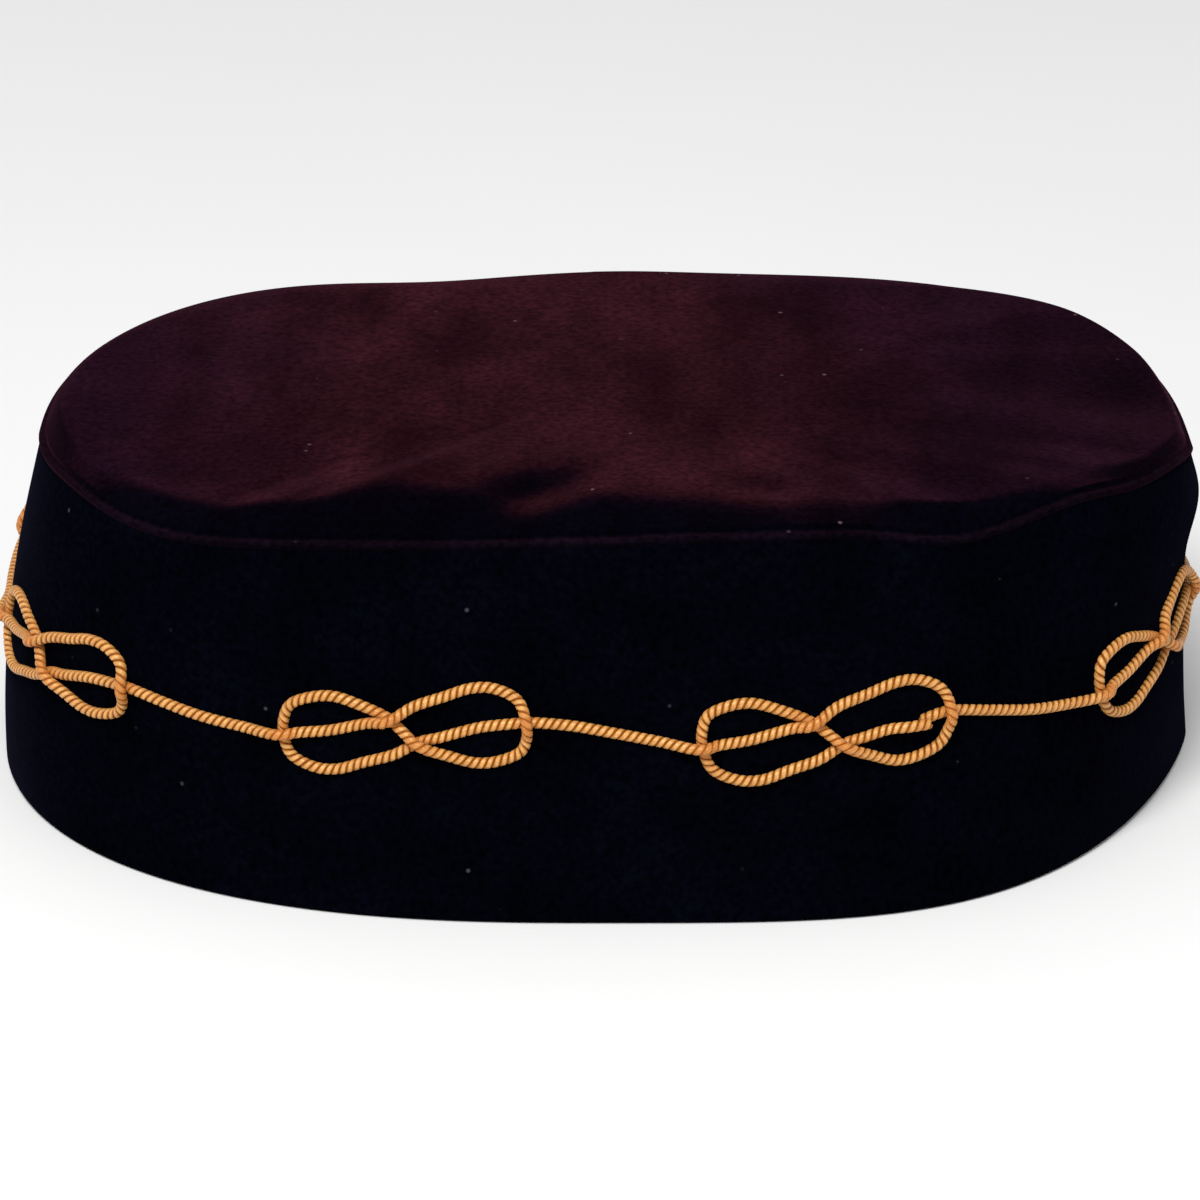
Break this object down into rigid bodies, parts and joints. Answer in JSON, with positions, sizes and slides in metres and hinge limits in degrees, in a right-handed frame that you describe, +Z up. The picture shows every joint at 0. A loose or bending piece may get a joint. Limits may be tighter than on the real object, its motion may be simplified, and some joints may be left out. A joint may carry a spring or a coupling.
{
  "type": "crown cap",
  "caption": "Soft oblong velvet cap with a flat top, open below for the head, with a gold cord couched round its side in love knots.",
  "frame": {"origin": "middle of the rim, on the surface that the cap stands on", "axes": "+X to the wearer's left along the cap's length as seen from its front, +Y to its back, +Z up through the top panel"},
  "size_m": [0.2091, 0.149, 0.0673],
  "materials": {
    "band_velvet": "blue-black cotton velvet, short pile, dark face-on and paler where it turns away",
    "top_velvet": "dark maroon velvet, short pile brushed towards the back",
    "gold_cord": "two-ply twisted rayon cord with a silky sheen"
  },
  "bodies": {
    "root": {"side_band": "band_velvet", "crown_top": "top_velvet", "cord": "gold_cord"}
  },
  "joints": []
}
